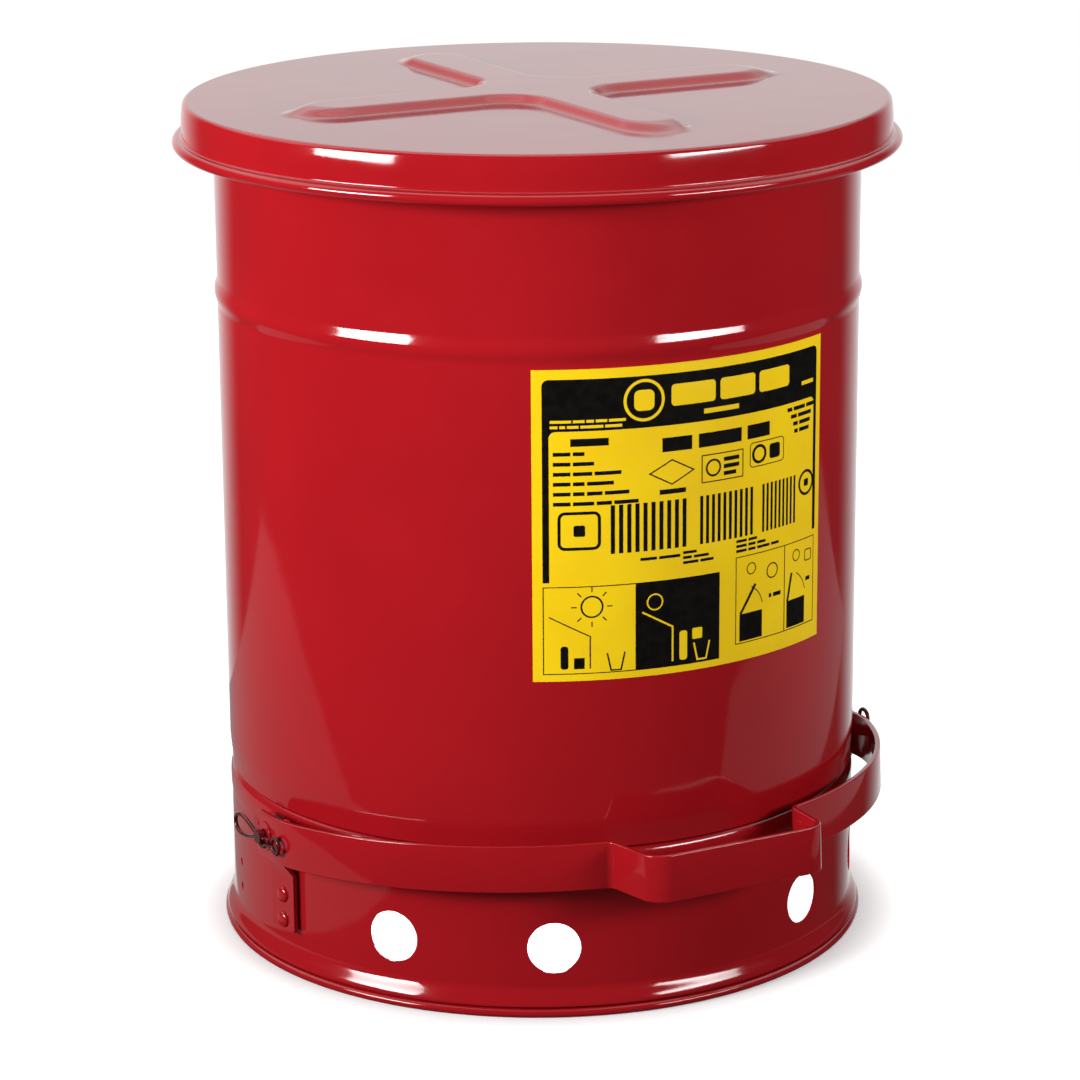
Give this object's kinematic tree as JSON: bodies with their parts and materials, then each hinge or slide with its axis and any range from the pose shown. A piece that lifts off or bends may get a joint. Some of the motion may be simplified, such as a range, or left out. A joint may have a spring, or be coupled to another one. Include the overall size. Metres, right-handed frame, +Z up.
{
  "type": "oily waste can",
  "caption": "Round red steel can for oily waste with a vented raised base, a foot pedal strap and a self-closing hinged lid lifted by a rear rod.",
  "frame": {"origin": "on the floor, at the middle of the object's plan, which is the drum's axis", "axes": "+Z up along the drum; -Y towards the foot pedal; +Y towards the lid's hinge; +X to the right when facing the pedal side with +Y ahead"},
  "size_m": [0.3982, 0.448, 0.4713],
  "materials": {
    "red_enamel": "gloss",
    "zinc_plate": "satin",
    "clip_wire": "gloss",
    "label_face": "satin"
  },
  "bodies": {
    "drum": {"drum_shell": "red_enamel", "rim_wire": "zinc_plate", "bottom_pan": "red_enamel", "base_skirt": "red_enamel", "foot_ring": "red_enamel", "label": "label_face", "pivot_bracket_left": "red_enamel", "pivot_bracket_right": "red_enamel", "bracket_rivets": "red_enamel", "hinge_bracket": "red_enamel", "hinge_bracket_rivets": "red_enamel", "hinge_pin": "zinc_plate", "hinge_pin_clip": "zinc_plate", "hinge_washers": "zinc_plate", "rod_guide_upper": "red_enamel", "rod_guide_lower": "red_enamel", "guide_rivets": "red_enamel"},
    "lid": {"lid_shell": "red_enamel", "lid_hinge_leaf": "red_enamel", "lid_hinge_rivets": "red_enamel", "lift_lug": "red_enamel"},
    "pedal": {"pedal_strap": "red_enamel", "pivot_shaft": "zinc_plate", "hairpin_left": "clip_wire", "hairpin_right": "clip_wire", "pivot_washers": "zinc_plate", "lift_lever": "zinc_plate", "lever_roll_pin": "zinc_plate"},
    "lift_rod": {"lift_rod": "zinc_plate", "rod_clips": "zinc_plate"}
  },
  "joints": [
    {"name": "lid_hinge", "type": "hinge", "parent": "drum", "child": "lid", "pos_m": [0, 0.216, 0.44], "axis": [-1, 0, 0], "range_deg": [0, 60]},
    {"name": "pedal_pivot", "type": "hinge", "parent": "drum", "child": "pedal", "pos_m": [0, -0.032, 0.0805], "axis": [1, 0, 0], "range_deg": [0, 7.7]},
    {"name": "lift_rod_slide", "type": "slide", "parent": "drum", "child": "lift_rod", "axis": [0, 0, 1], "range_m": [0, 0.0301]}
  ],
  "couplings": [
    {"joint": "pedal_pivot", "follows": "lid_hinge", "ratio": 0.12815},
    {"joint": "lift_rod_slide", "follows": "lid_hinge", "m_per_rad": 0.02867}
  ]
}
